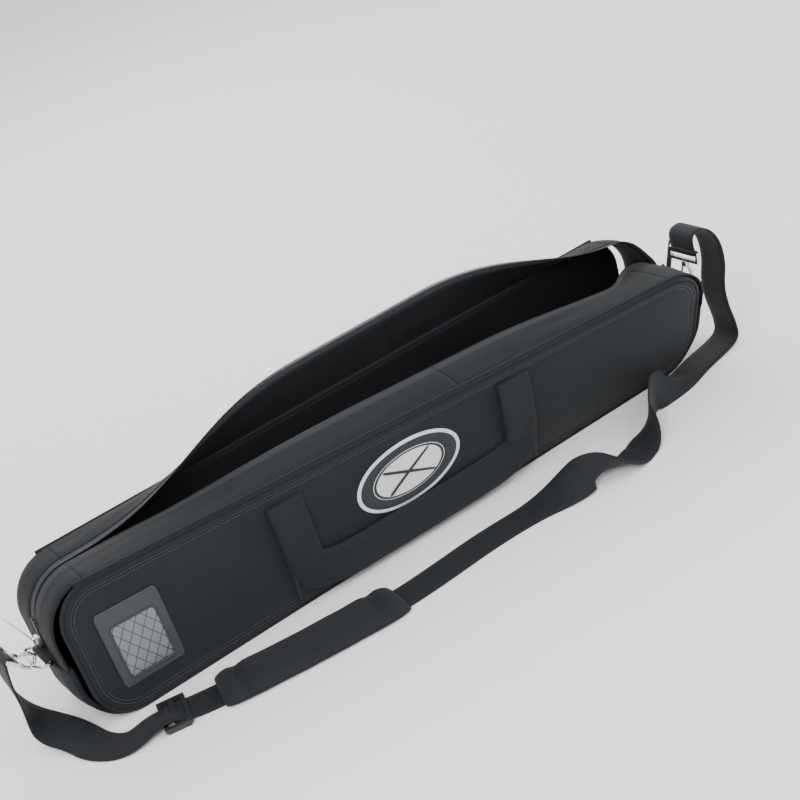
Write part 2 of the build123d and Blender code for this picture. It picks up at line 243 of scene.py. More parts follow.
def webbing_finish(name, colour, rib=0.0024):
    """Nylon webbing: long ribs across its width, each one a run of slanting yarns."""
    f = Finish(name, Sheen_Weight=0.05, Sheen_Roughness=0.45, Specular_IOR_Level=0.15)
    place, along, across = f.cloth_place()
    slant = (along / rib).zigzag(1.0) * 0.7
    ribs = ((across / rib + slant) * pi).wave().size()
    yarn = ((along / (rib * 0.42)) * pi).wave().size()
    height = ribs * 0.75 + yarn * 0.25
    patchy = f.cloud(place, 26.0)
    # Colour: a random patchy tone, plus painted shade in the grooves between the ribs and a painted highlight
    # on their crests.
    tone_and_painted_weave_shade = ribs * 0.5 + patchy * 0.5
    f.feed(f.skin.inputs["Base Color"], f.blend_colours(tone_and_painted_weave_shade, shade(colour, 0.62), shade(colour, 1.4)))
    f.feed(f.skin.inputs["Roughness"], patchy * 0.22 + 0.52)
    f.feed(f.skin.inputs["Normal"], f.bump(height, 0.0004, 0.8))
    return f.material


STRAP_COLOUR = (0.0125, 0.0142, 0.0165)
strap_webbing = webbing_finish("strap webbing", STRAP_COLOUR)


def surface(name, rows, material, close_rows=False, close_columns=False):
    """A sheet of quads through a grid of points, mapped in metres along and across."""
    count, wide = len(rows), len(rows[0])
    points = [tuple(p) for row in rows for p in row]
    faces = []
    for i in range(count if close_rows else count - 1):
        for j in range(wide if close_columns else wide - 1):
            a, b = i * wide + j, i * wide + (j + 1) % wide
            c, d = ((i + 1) % count) * wide + (j + 1) % wide, ((i + 1) % count) * wide + j
            faces.append((a, b, c, d))
    mesh = bpy.data.meshes.new(name)
    mesh.from_pydata(points, [], faces)
    along = [0.0]
    for i in range(1, count):
        along.append(along[-1] + (Vector(rows[i][wide // 2]) - Vector(rows[i - 1][wide // 2])).length)
    across = [0.0]
    middle = rows[count // 2]
    for j in range(1, wide):
        across.append(across[-1] + (Vector(middle[j]) - Vector(middle[j - 1])).length)
    layer = mesh.uv_layers.new(name="cloth")
    for loop in mesh.loops:
        i, j = divmod(loop.vertex_index, wide)
        layer.data[loop.index].uv = (along[i], across[j])
    mesh.materials.append(material)
    mesh.polygons.foreach_set("use_smooth", [True] * len(mesh.polygons))
    piece = bpy.data.objects.new(name, mesh)
    bpy.context.collection.objects.link(piece)
    return piece


def settle(piece, outward=True):
    """Apply every modifier, merge doubles and turn the faces outwards."""
    bpy.context.view_layer.update()
    source = piece.evaluated_get(bpy.context.evaluated_depsgraph_get())
    mesh = bpy.data.meshes.new_from_object(source)
    piece.modifiers.clear()
    piece.data = mesh
    if outward:
        shell = bmesh.new()
        shell.from_mesh(mesh)
        bmesh.ops.remove_doubles(shell, verts=shell.verts, dist=0.00002)
        bmesh.ops.recalc_face_normals(shell, faces=shell.faces)
        shell.to_mesh(mesh)
        shell.free()
    return piece


def band_rows(centres, wides, width, thick, steps=7):
    """Closed cross-sections of flat webbing with rounded edges, one for each centre."""
    rows = []
    for i, (centre, wide) in enumerate(zip(centres, wides)):
        ahead = centres[min(i + 1, len(centres) - 1)] - centres[max(i - 1, 0)]
        across = (wide - ahead * (wide.dot(ahead) / ahead.length_squared)).normalized()
        normal = ahead.cross(across).normalized()
        row = []
        for side in (1, -1):
            for k in range(steps):
                t = side * (1 - 2 * k / (steps - 1))
                row.append(centre + across * (t * (width / 2 - thick * 0.3)) + normal * (side * thick / 2))
            row.append(centre - across * (side * width / 2))
        rows.append(row)
    return rows


def close_ends(mesh):
    cap = bmesh.new()
    cap.from_mesh(mesh)
    bmesh.ops.holes_fill(cap, edges=[e for e in cap.edges if e.is_boundary])
    bmesh.ops.recalc_face_normals(cap, faces=cap.faces)
    cap.to_mesh(mesh)
    cap.free()


def webbing(name, centres, wides, material, width=0.050, thick=0.0024):
    """Flat webbing along a line of centres, closed at both ends."""
    piece = surface(name, band_rows(centres, wides, width, thick), material, close_columns=True)
    close_ends(piece.data)
    for polygon in piece.data.polygons:
        polygon.use_smooth = len(polygon.vertices) == 4
    return piece


def spline_points(name, controls, resolution=10):
    """Points along a smooth NURBS spline that has the given control points."""
    curve = bpy.data.curves.new(name, "CURVE")
    curve.dimensions = "3D"
    curve.resolution_u = resolution
    spline = curve.splines.new("NURBS")
    spline.points.add(len(controls) - 1)
    for point, place in zip(spline.points, controls):
        point.co = (*place, 1.0)
    spline.order_u = 3
    spline.use_endpoint_u = True
    holder = bpy.data.objects.new(name, curve)
    bpy.context.collection.objects.link(holder)
    bpy.context.view_layer.update()
    mesh = bpy.data.meshes.new_from_object(holder)
    points = [v.co.copy() for v in mesh.vertices]
    bpy.data.objects.remove(holder)
    bpy.data.meshes.remove(mesh)
    return points


WEB = 0.050
FLAT_CENTRE = 0.0014  # how high the middle of the webbing is where it lies flat
OFF_FLOOR = 0.0003
# Each point of the strap's route in millimetres, with the way its width points there.
STRAP_ROUTE = (
    (-547, -4, 128, (0, 1, 0)),
    (-551, -4, 108, (0, 1, 0)),
    (-551, -4, 80, (0.05, 1, 0)),
    (-546, -8, 46, (0.3, 1, 0.1)),
    (-535, -20, 20, (0.8, 0.8, 0.3)),
    (-514, -46, 7, (1, 0.35, 0.1)),
    (-502, -94, 1.3, (0.9, 0.3, 0)),
    (-474, -125, 1.3, (0.45, 0.9, 0)),
    (-430, -117, 9, (-0.3, 0.95, -0.25)),
    (-388, -128, 1.3, (0.3, 0.95, 0)),
    (-350, -139, 1.3, (0.25, 1, 0)),
    (-268, -156, 1.3, (0.2, 1, 0)),
    (-185, -169, 1.3, (0.15, 1, 0)),
    (-104, -178, 1.3, (0.05, 1, 0)),
    (-40, -176, 1.3, (0, 1, 0)),
    (38, -171, 1.3, (0, 1, 0)),
    (120, -176, 1.3, (0.2, 1, 0)),
    (168, -197, 20, (0.2, 0.8, 0.75)),
    (190, -206, 30, (0, 0.1, 1)),
    (214, -208, 20, (0.1, -0.8, 0.75)),
    (256, -203, 1.3, (-0.3, -1, 0)),
    (306, -178, 1.3, (-0.5, -0.9, 0)),
    (340, -148, 20, (-0.5, -0.6, 0.7)),
    (360, -132, 30, (0, 0, 1)),
    (382, -121, 20, (0.35, 0.6, 0.7)),
    (416, -108, 1.3, (0.4, 0.9, 0)),
    (468, -88, 1.3, (0.3, 1, 0)),
    (516, -77, 1.3, (0.1, 1, 0)),
    (543, -74, 8, (0, 1, 0)),
    (546, -72, 30, (0, 1, 0)),
    (541, -72, 60, (0, 1, 0)),
    (541, -72, 90, (0, 1, 0)),
    (555, -72, 126, (0, 1, 0)),
    (553, -72, 162, (0, 1, 0)),
    (536, -72, 186, (0, 1, 0)),
    (516, -72, 188, (0, 1, 0)),
    (508, -72, 178, (0, 1, 0)),
    (508.8, -72, 163, (0, 1, 0)),
)
route = [Vector(p[:3]) * 0.001 for p in STRAP_ROUTE]
edge = [Vector(p[:3]) * 0.001 + Vector(p[3]).normalized() * (WEB / 2) for p in STRAP_ROUTE]
strap_line = spline_points("strap line", route)
strap_edge = spline_points("strap edge", edge)
strap_wide = [(b - a).normalized() for a, b in zip(strap_line, strap_edge)]
strap_line = [
    Vector((p.x, p.y, max(p.z, FLAT_CENTRE + abs(w.z) * WEB / 2))) for p, w in zip(strap_line, strap_wide)
]
strap = webbing("shoulder_strap_webbing", strap_line, strap_wide, strap_webbing)
# No part of the webbing goes under the floor: each cross-section is lifted as it needs.
ring = len(strap.data.vertices) // len(strap_line)
for i, centre in enumerate(strap_line):
    row = strap.data.vertices[i * ring:(i + 1) * ring]
    lift = max(0.0, OFF_FLOOR - min(v.co.z for v in row))
    for v in row:
        v.co.z += lift
    centre.z += lift
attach(strap, "bag")
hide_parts("shoulder_strap", "left_strap_drop", "right_strap_drop")


# ---------------------------------------------------------------------------
# Shoulder pad: a long flat cushion on the strap, thin along both edges and pinched near
# its ends, with a band of webbing across it near each end to hold it to the strap.


def cloth_finish(name, colour, pitch=0.0011, bumpiness=0.55, sheen=0.05):
    """Close woven nylon: yarns over and under each other, with faint lint and wear, and painted shade between
    the yarns.
    """
    f = Finish(name, Sheen_Weight=sheen, Sheen_Roughness=0.5, Specular_IOR_Level=0.12)
    place, along, across = f.cloth_place()
    warp = ((along / pitch) * pi).wave()
    weft = ((across / pitch) * pi).wave()
    over = (warp * weft) > 0.0
    height = over * warp.size() + (1 - over) * weft.size()
    patchy = f.cloud(place, 11.0, 4.0)
    lint = f.cloud(place, 420.0, 1.0)
    # Colour: random patchy tone and lint, plus painted shade between the yarns and a painted highlight on
    # their crests.
    tone_and_painted_weave_shade = patchy * 0.6 + lint * 0.25 + height * 0.15
    f.feed(f.skin.inputs["Base Color"], f.blend_colours(tone_and_painted_weave_shade, shade(colour, 0.6), shade(colour, 1.45)))
    f.feed(f.skin.inputs["Roughness"], patchy * 0.2 + 0.58)
    f.feed(f.skin.inputs["Normal"], f.bump(height, 0.00025, bumpiness))
    return f.material


PAD_WIDE = 0.076
PAD_HIGH = 0.015
PAD_BAND_IN = 0.030
pad_cloth = cloth_finish("pad cloth", (0.0145, 0.0162, 0.0188), 0.0010)


def nearest(points, place):
    return min(range(len(points)), key=lambda i: (points[i] - place).length)


pad_first = nearest(strap_line, Vector((-0.350, -0.139, 0.0013)))
pad_last = nearest(strap_line, Vector((-0.104, -0.178, 0.0013)))
pad_line = strap_line[pad_first:pad_last + 1]
pad_rows = []
pad_run = [0.0]
for a, b in zip(pad_line, pad_line[1:]):
    pad_run.append(pad_run[-1] + (b - a).length)
fine = []
for k in range(61):
    want = pad_run[-1] * (0.5 - 0.5 * cos(pi * k / 60))
    i = max(j for j in range(len(pad_run) - 1) if pad_run[j] <= want + 1e-9)
    share = (want - pad_run[i]) / (pad_run[i + 1] - pad_run[i])
    fine.append((want, pad_line[i].lerp(pad_line[i + 1], share)))
for k, (run, centre) in enumerate(fine):
    ahead = (fine[min(k + 1, 60)][1] - fine[max(k - 1, 0)][1]).normalized()
    across = Vector((0, 0, 1)).cross(ahead).normalized()
    end = min(run, pad_run[-1] - run)
    taper = sqrt(max(0.0, 1 - (1 - min(end, 0.022) / 0.022) ** 2))
    half = PAD_WIDE / 2 * (0.80 + 0.20 * taper) * (1 + 0.02 * noise.noise(centre * 30))
    high = PAD_HIGH * (0.35 + 0.65 * taper) * (1 + 0.10 * noise.noise(centre * 22))
    pinch = 1 - 0.30 * exp(-((end - PAD_BAND_IN) / 0.007) ** 2)
    row = []
    for m in range(28):
        turn = 2 * pi * m / 28
        out, up = cos(turn), sin(turn)
        flat = (abs(out) ** 0.75) * (1 if out > 0 else -1)
        rise = max(0.0, up) ** 0.8 * high * pinch if up > 0 else up * 0.0012
        row.append(centre + across * (flat * half) + Vector((0, 0, 1)) * (0.0015 + rise))
    pad_rows.append(row)
pad = surface("shoulder_pad_cushion", pad_rows, pad_cloth, close_columns=True)
close_ends(pad.data)
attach(pad, "bag")

for name, place in (("left_pad_band", PAD_BAND_IN), ("right_pad_band", pad_run[-1] - PAD_BAND_IN)):
    i = min(range(61), key=lambda k: abs(fine[k][0] - place))
    centre = fine[i][1]
    ahead = (fine[i + 1][1] - fine[i - 1][1]).normalized()
    across = Vector((0, 0, 1)).cross(ahead).normalized()
    arch = []
    for k in range(15):
        t = 1 - 2 * k / 14
        up = PAD_HIGH * 0.70 * max(0.0, 1 - abs(t) ** 2.6) + 0.0035
        arch.append(centre + across * (t * 0.0385) + Vector((0, 0, up)))
    band = webbing(name, arch, [ahead] * 15, strap_webbing, 0.020, 0.0016)
    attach(band, "bag")
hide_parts("shoulder_pad", "pad_sleeve")


# ---------------------------------------------------------------------------
# The bag's two padded sides: foam between woven cloth and a smooth lining, cut to a
# long rounded outline. They swell between their seams and lean apart where it is open.

OUT = {"front": -1.0, "back": 1.0}
joints = {j["name"]: j for j in frame["record"]["behaviour"]["joints"]}
FOOT_Y = 0.070
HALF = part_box("front_shell")[1][0]
FOOT_Z = 0.0045
CORNER = 0.050


def seam(side, x, in_by=0.005, up_by=0.004):
    """The hinge line of a lip, or the top seam beside it."""
    joint = joints[side + "_lip_hinge"]
    start, along = Vector(joint["pos_m"]), Vector(joint["axis"])
    point = start + along * ((x - start.x) / along.x)
    return point + Vector((0, OUT[side] * in_by, -up_by))


def wall(side, x, z, depth=0.0):
    top = seam(side, x)
    foot = OUT[side] * FOOT_Y
    return Vector((x, foot + (top.y - foot) * z / top.z - OUT[side] * depth, z))


def edge_distance(side, x, z):
    """How far a place on a side is inside its rounded outline."""
    middle = (FOOT_Z + seam(side, x).z) / 2
    half_high = (seam(side, x).z - FOOT_Z) / 2
    qx, qz = abs(x) - (HALF - CORNER), abs(z - middle) - (half_high - CORNER)
    return CORNER - hypot(max(qx, 0.0), max(qz, 0.0)) - min(max(qx, qz), 0.0)


def side_columns():
    xs = []
    for k in range(9):
        xs.append(-HALF + CORNER * (1 - cos(pi / 2 * k / 8)))
    for k in range(1, 108):
        xs.append(-HALF + CORNER + (2 * HALF - 2 * CORNER) * k / 108)
    return xs + [-x for x in reversed(xs[:9])]


def side_column(side, x, steps):
    top = seam(side, x).z
    over = max(0.0, abs(x) - (HALF - CORNER))
    cut = CORNER - sqrt(max(0.0, CORNER ** 2 - over ** 2))
    low, high = FOOT_Z + cut, top - cut
    spread = [0.5 - 0.5 * cos(pi * k / steps) for k in range(steps + 1)]
    spread = [0.55 * s + 0.45 * k / steps for k, s in enumerate(spread)]
    return [low + (high - low) * s for s in spread]


def closed_sheet(name, outer, inner, cloth, lining):
    """A thick sheet between two grids of points, cloth outside and lining inside."""
    rows, wide = len(outer), len(outer[0])
    points = [tuple(p) for row in outer for p in row] + [tuple(p) for row in inner for p in row]
    base = rows * wide
    faces, slots = [], []
    for i in range(rows - 1):
        for j in range(wide - 1):
            a, b = i * wide + j, i * wide + j + 1
            c, d = (i + 1) * wide + j + 1, (i + 1) * wide + j
            faces += [(a, b, c, d), (base + d, base + c, base + b, base + a)]
            slots += [0, 1]
    rim = [j for j in range(wide)] + [i * wide + wide - 1 for i in range(1, rows)]
    rim += [(rows - 1) * wide + j for j in range(wide - 2, -1, -1)]
    rim += [i * wide for i in range(rows - 2, 0, -1)]
    for a, b in zip(rim, rim[1:] + rim[:1]):
        faces.append((b, a, base + a, base + b))
        slots.append(0)
    mesh = bpy.data.meshes.new(name)
    mesh.from_pydata(points, [], faces)
    along, across = [0.0], [0.0]
    for i in range(1, rows):
        along.append(along[-1] + (Vector(outer[i][wide // 2]) - Vector(outer[i - 1][wide // 2])).length)
    for j in range(1, wide):
        across.append(across[-1] + (Vector(outer[rows // 2][j]) - Vector(outer[rows // 2][j - 1])).length)
    layer = mesh.uv_layers.new(name="cloth")
    for loop in mesh.loops:
        i, j = divmod(loop.vertex_index % base, wide)
        layer.data[loop.index].uv = (along[i], across[j])
    mesh.materials.append(cloth)
    mesh.materials.append(lining)
    mesh.polygons.foreach_set("material_index", slots)
    mesh.polygons.foreach_set("use_smooth", [True] * len(faces))
    shell = bmesh.new()
    shell.from_mesh(mesh)
    bmesh.ops.recalc_face_normals(shell, faces=shell.faces)
    shell.to_mesh(mesh)
    shell.free()
    piece = bpy.data.objects.new(name, mesh)
    bpy.context.collection.objects.link(piece)
    return piece


bag_cloth = cloth_finish("bag cloth", (0.0130, 0.0150, 0.0175))
gusset_cloth = cloth_finish("gusset cloth", (0.0100, 0.0118, 0.0138))
lining_cloth = cloth_finish("lining", (0.0060, 0.0065, 0.0075), 0.0006, 0.25, 0.02)


def swell(d):
    """How far the outer cloth stands off the flat side, by distance from its seam."""
    lip = 0.0022 * exp(-((d - 0.0045) / 0.003) ** 2)
    sewn = -0.0012 * exp(-((d - 0.010) / 0.003) ** 2)
    return -0.0018 * exp(-d / 0.002) + lip + sewn + 0.0060 * (1 - exp(-max(0.0, d - 0.006) / 0.030))


def outer_rise(side, x, z):
    d = edge_distance(side, x, z)
    soft = noise.noise(Vector((x * 5.0, z * 9.0, OUT[side] * 3.0)))
    crease = noise.noise(Vector((x * 17.0 + z * 9.0, z * 15.0, OUT[side] * 7.0)))
    loose = min(1.0, d / 0.03)
    return swell(d) + (0.0022 * soft + 0.0009 * crease) * loose


def inner_rise(side, x, z):
    """Slack folds of the lining, deepest half-way up and running down from the mouth."""
    loose = min(1.0, edge_distance(side, x, z) / 0.05)
    fold = noise.noise(Vector((x * 9.0 + z * 12.0, z * 4.0, OUT[side] * 11.0)))
    ripple = noise.noise(Vector((x * 26.0 - z * 20.0, z * 9.0, OUT[side] * 5.0)))
    return (0.0050 * max(0.0, fold + 0.2) + 0.0016 * ripple) * loose


for side in ("front", "back"):
    outer, inner, lined = [], [], []
    for x in side_columns():
        zs = side_column(side, x, 34)
        outer.append([wall(side, x, z, -outer_rise(side, x, z)) for z in zs])
        inner.append([wall(side, x, z, 0.0060) for z in zs])
        lined.append([wall(side, x, z, 0.0098 + inner_rise(side, x, z)) for z in zs])
    panel = closed_sheet(side + "_side_panel", outer, inner, bag_cloth, lining_cloth)
    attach(panel, "bag")
    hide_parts(side + "_shell")
    lining = closed_sheet(side + "_side_lining", inner, lined, lining_cloth, lining_cloth)
    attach(lining, "bag")
    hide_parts(side + "_lining", side + "_foam")


# ---------------------------------------------------------------------------
# Piping: a cord in a folded strip of cloth, caught in the seam all round each side.

piping_cloth = cloth_finish("piping cloth", (0.0125, 0.0140, 0.0165), 0.0008, 0.4)


def round_outline(side, grow, step):
    """Places round a side's rounded outline, moved out by grow, about a step apart."""
    corners = []
    r = CORNER + grow
    for sx, top, start in ((1, 0, -90), (1, 1, 0), (-1, 1, 90), (-1, 0, 180)):
        x = sx * (HALF - CORNER)
        z = seam(side, x).z - CORNER if top else FOOT_Z + CORNER
        turns = [radians(start + 9 * k) for k in range(11)]
        corners += [(x + r * cos(turn), z + r * sin(turn)) for turn in turns]
    loop = []
    for (x0, z0), (x1, z1) in zip(corners, corners[1:] + corners[:1]):
        parts = max(1, int(hypot(x1 - x0, z1 - z0) / step))
        loop += [(x0 + (x1 - x0) * k / parts, z0 + (z1 - z0) * k / parts) for k in range(parts)]
    return loop


def round_cord(name, points, radius, material, closed=True, sides=10):
    """A round cord through a list of points."""
    rows = []
    last = len(points) - 1
    for i, p in enumerate(points):
        before = points[i - 1] if closed or i > 0 else p
        after = points[(i + 1) % len(points)] if closed or i < last else p
        ahead = (after - before).normalized()
        up = Vector((0, 1, 0))
        one = ahead.cross(up).normalized()
        two = ahead.cross(one)
        turns = [2 * pi * k / sides for k in range(sides)]
        rows.append([p + (one * cos(turn) + two * sin(turn)) * radius for turn in turns])
    return surface(name, rows, material, close_rows=closed, close_columns=True)


for side in ("front", "back"):
    line = [wall(side, x, z, 0.0028) for x, z in round_outline(side, 0.0020, 0.012)]
    cord = round_cord(side + "_piping_cord", line, 0.0030, piping_cloth)
    settle(cord)
    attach(cord, "bag")
    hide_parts(side + "_piping")


# ---------------------------------------------------------------------------
# Zip gusset: two strips of padded cloth, one sewn to each side, with half of the zip on
# each free edge. They are the bag's open lips along the top and turn down both ends.

GUSSET_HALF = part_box("bottom_gusset")[1][0]
TURN = 0.062
SPLIT_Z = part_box("bottom_gusset")[1][2]
LIP_REACH = 0.061
ZIP_EDGE = 0.011
ZIP_Y = {"left": 0.009, "right": -0.034}
LEFT_BEND = (-0.400, -0.020)
RIGHT_BEND = (0.426, 0.170)
LEFT_WIDENS = 0.12
RIGHT_WIDENS = (0.37, 0.07)
LIP_OPEN = {"front": 14.0, "back": 90.0}
RIGHT_STAYS = {"front": -4.0, "back": 12.0}


def smooth(t):
    t = min(1.0, max(0.0, t))
    return t * t * (3 - 2 * t)


def lip_angle(side, x):
    """How steeply a lip stands up at x, in radians above level."""
    full = radians(LIP_OPEN[side])
    if x < 0.10:
        return full * smooth((x - LEFT_BEND[0]) / (LEFT_BEND[1] - LEFT_BEND[0]))
    stay = radians(RIGHT_STAYS[side])
    w = smooth((RIGHT_BEND[0] - x) / (RIGHT_BEND[0] - RIGHT_BEND[1]))
    return full * w + stay * (1 - w)


def gusset_station(side, place):
    """Base point, outward direction and angle of the zip gusset at a place along it.

    place is a distance from the middle of the top, less than zero towards the left end.
    """
    sign = -1.0 if place < 0 else 1.0
    straight = GUSSET_HALF - TURN
    run = abs(place)
    if run <= straight:
        base = seam(side, place, 0.0, 0.0)
        return base, Vector((0, 0, 1)), lip_angle(side, place)
    run -= straight
    top = seam(side, sign * straight, 0.0, 0.0)
    quarter = TURN * pi / 2
    turn = min(run, quarter) / TURN
    x = sign * (straight + TURN * sin(turn))
    z = top.z - TURN + TURN * cos(turn) - max(0.0, run - quarter)
    y = wall(side, sign * min(abs(x), HALF), z, 0.0055).y
    away = Vector((sign * sin(turn), 0, cos(turn)))
    settled = 1 - smooth(turn) if sign > 0 else 1.0
    return Vector((x, y, z)), away, lip_angle(side, sign * straight) * settled


def gusset_width(side, place):
    """From the seam to the zip: the lips' own width, or what it takes to meet at an end."""
    base, _, angle = gusset_station(side, place)
    end = "left" if place < 0 else "right"
    to_zip = (abs(ZIP_Y[end] - base.y) - 0.0006) / cos(angle)
    if place < 0:
        near = smooth((LEFT_BEND[0] + LEFT_WIDENS - place) / LEFT_WIDENS)
    else:
        near = smooth((place - RIGHT_WIDENS[0]) / RIGHT_WIDENS[1])
    return LIP_REACH * (1 - near) + to_zip * near


def gusset_point(side, place, reach, rise):
    """A point of the zip gusset: reach out from its seam, rise off its middle."""
    base, away, angle = gusset_station(side, place)
    across = Vector((0, -OUT[side] * cos(angle), 0)) + away * sin(angle)
    normal = Vector((0, OUT[side] * sin(angle), 0)) + away * cos(angle)
    return base + across * reach + normal * rise


def gusset_piece(side, first, last, steps, zip_part=False):
    """The outer and inner points of a stretch of gusset cloth, or of its zip tape."""
    outer, inner = [], []
    for i in range(steps + 1):
        place = first + (last - first) * i / steps
        full = gusset_width(side, place)
        start, end = (full - ZIP_EDGE - 0.001, full - 0.003) if zip_part else (0.0, full - ZIP_EDGE)
        top, under = [], []
        cells = 3 if zip_part else 14
        for j in range(cells + 1):
            t = j / cells
            reach = start + (end - start) * t
            if zip_part:
                rise, thick = 0.0008, 0.0010
            else:
                puff = sin(pi * min(1.0, max(0.0, t))) ** 0.6
                soft = noise.noise(Vector((place * 11.0, t * 2.5, OUT[side] * 4.0)))
                rise = 0.0012 + 0.0022 * puff + 0.0014 * soft * puff
                thick = 0.0022 + 0.0028 * puff
            top.append(gusset_point(side, place, reach, rise))
            under.append(gusset_point(side, place, reach, rise - thick))
        outer.append(top)
        inner.append(under)
    return outer, inner


end_place = GUSSET_HALF - TURN + TURN * pi / 2
tape_cloth = cloth_finish("zip tape", (0.030, 0.033, 0.038), 0.0007, 0.5)
GUSSET_STRETCHES = {
    "left_{}_corner": (None, -0.426, 34, "bag"),
    "{}_lip_left": (-0.426, 0.100, 92, "left"),
    "{}_lip_right": (0.100, 0.426, 60, "right"),
    "right_{}_corner": (0.426, None, 34, "bag"),
}


def down_to_split(side, sign):
    top = seam(side, sign * (GUSSET_HALF - TURN), 0.0, 0.0).z
    return sign * (end_place + top - TURN - SPLIT_Z)


def hang_on(piece, holder):
    """Let a gusset piece ride on the bag, or else leave it where it is with its transform baked in."""
    if holder == "bag":
        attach(piece, "bag")
    else:
        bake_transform(piece)


for side in ("front", "back"):
    for pattern, (first, last, steps, holder) in GUSSET_STRETCHES.items():
        name = pattern.format(side)
        first = down_to_split(side, -1) if first is None else first
        last = down_to_split(side, 1) if last is None else last
        outer, inner = gusset_piece(side, first, last, steps)
        piece = closed_sheet(name + "_cloth", outer, inner, gusset_cloth, lining_cloth)
        hang_on(piece, holder)
        outer, inner = gusset_piece(side, first, last, steps, zip_part=True)
        tape = closed_sheet(name + "_zip_tape", outer, inner, tape_cloth, tape_cloth)
        hang_on(tape, holder)
    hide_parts(f"left_{side}_corner")
    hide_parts(f"right_{side}_corner")
    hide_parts(side + "_lip", side + "_lip_foam", side + "_lip_lining")
    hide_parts(side + "_zip_tape")

# The roll of cloth along each top seam that the lips fold about.
for side in ("front", "back"):
    line = [seam(side, -0.44 + 0.011 * k, 0.0008, 0.001) for k in range(81)]
    rolled = round_cord(side + "_seam_roll", line, 0.0042, gusset_cloth, closed=False)
    settle(rolled)
    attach(rolled, "bag")


# ---------------------------------------------------------------------------
# Zip teeth: a nylon coil sewn along the edge of each tape, one loop every 2.2 mm.

COIL_PITCH = 0.0022
zip_nylon = Finish("zip coil", Base_Color=(0.02, 0.021, 0.023, 1), Roughness=0.35)
coil_place = zip_nylon.node("ShaderNodeTexCoord", out=3)
zip_nylon.feed(zip_nylon.skin.inputs["Roughness"], zip_nylon.cloud(coil_place, 300.0) * 0.25 + 0.28)


def repeat_tree(name, pitch):
    """A node tree that sets one item at every step of a curve, turned to follow it."""
    tree = bpy.data.node_groups.new(name, "GeometryNodeTree")
    tree.interface.new_socket("Geometry", in_out="INPUT", socket_type="NodeSocketGeometry")
    tree.interface.new_socket("Geometry", in_out="OUTPUT", socket_type="NodeSocketGeometry")
    size = tree.interface.new_socket("Spacing", in_out="INPUT", socket_type="NodeSocketFloat")
    tree.interface.new_socket("Item", in_out="INPUT", socket_type="NodeSocketObject")
    tree.interface.new_socket("Finish", in_out="INPUT", socket_type="NodeSocketMaterial")
    size.default_value = pitch
    nodes = tree.nodes
    start, end = nodes.new("NodeGroupInput"), nodes.new("NodeGroupOutput")
    line = nodes.new("GeometryNodeMeshToCurve")
    even = nodes.new("GeometryNodeResampleCurve")
    even.mode = "LENGTH"
    along = nodes.new("GeometryNodeInputTangent")
    turn = nodes.new("FunctionNodeAlignRotationToVector")
    turn.axis = "X"
    tilt = nodes.new("FunctionNodeAlignRotationToVector")
    tilt.axis = "Z"
    tilt.pivot_axis = "X"
    facing = nodes.new("GeometryNodeInputNamedAttribute")
    facing.data_type = "FLOAT_VECTOR"
    facing.inputs["Name"].default_value = "facing"
    info = nodes.new("GeometryNodeObjectInfo")
    place = nodes.new("GeometryNodeInstanceOnPoints")
    real = nodes.new("GeometryNodeRealizeInstances")
    paint = nodes.new("GeometryNodeSetMaterial")
    wires = (
        (start, "Geometry", line, "Mesh"),
        (line, "Curve", even, "Curve"),
        (start, "Spacing", even, "Length"),
        (even, "Curve", place, "Points"),
        (along, 0, turn, "Vector"),
        (turn, 0, tilt, "Rotation"),
        (facing, "Attribute", tilt, "Vector"),
        (tilt, 0, place, "Rotation"),
        (start, "Item", info, "Object"),
        (info, "Geometry", place, "Instance"),
        (place, "Instances", real, "Geometry"),
        (real, "Geometry", paint, "Geometry"),
        (start, "Finish", paint, "Material"),
        (paint, "Geometry", end, "Geometry"),
    )
    for giver, output, taker, socket in wires:
        tree.links.new(giver.outputs[output], taker.inputs[socket])
    return tree


def small_item(name, long, wide, high):
    """A little rounded bar, long along X, used for a stitch or a loop of coil."""
    shell = bmesh.new()
    rings = []
    for x, part in ((-0.5, 0.45), (-0.32, 1.0), (0.32, 1.0), (0.5, 0.45)):
        ring = []
        for k in range(6):
            turn = 2 * pi * k / 6
            ring.append(shell.verts.new((x * long, cos(turn) * wide / 2 * part, sin(turn) * high / 2 * part)))
        rings.append(ring)
    for one, two in zip(rings, rings[1:]):
        for k in range(6):
            shell.faces.new((one[k], one[(k + 1) % 6], two[(k + 1) % 6], two[k]))
    shell.faces.new(rings[0])
    shell.faces.new(rings[-1])
    bmesh.ops.recalc_face_normals(shell, faces=shell.faces)
    mesh = bpy.data.meshes.new(name)
    shell.to_mesh(mesh)
    shell.free()
    return bpy.data.objects.new(name, mesh)


def repeat_along(name, lines, tree, item, finish, spacing):
    """One mesh of an item repeated along lines, each a list of points and facings."""
    points, edges, facings = [], [], []
    for line in lines:
        base = len(points)
        points += [tuple(p) for p, _ in line]
        facings += [tuple(n) for _, n in line]
        edges += [(base + k, base + k + 1) for k in range(len(line) - 1)]
    mesh = bpy.data.meshes.new(name)
    mesh.from_pydata(points, edges, [])
    facing = mesh.attributes.new("facing", "FLOAT_VECTOR", "POINT")
    facing.data.foreach_set("vector", [c for n in facings for c in n])
    piece = bpy.data.objects.new(name, mesh)
    bpy.context.collection.objects.link(piece)
    modifier = piece.modifiers.new("repeat", "NODES")
    modifier.node_group = tree
    sockets = {s.name: s.identifier for s in tree.interface.items_tree if s.in_out == "INPUT"}
    modifier[sockets["Spacing"]] = spacing
    modifier[sockets["Item"]] = item
    modifier[sockets["Finish"]] = finish
    bpy.context.view_layer.update()
    result = bpy.data.meshes.new_from_object(piece.evaluated_get(bpy.context.evaluated_depsgraph_get()))
    piece.modifiers.clear()
    piece.data = result
    return piece


along_line = repeat_tree("repeat along a line", COIL_PITCH)
coil_loop = small_item("coil loop", 0.0017, 0.0046, 0.0020)


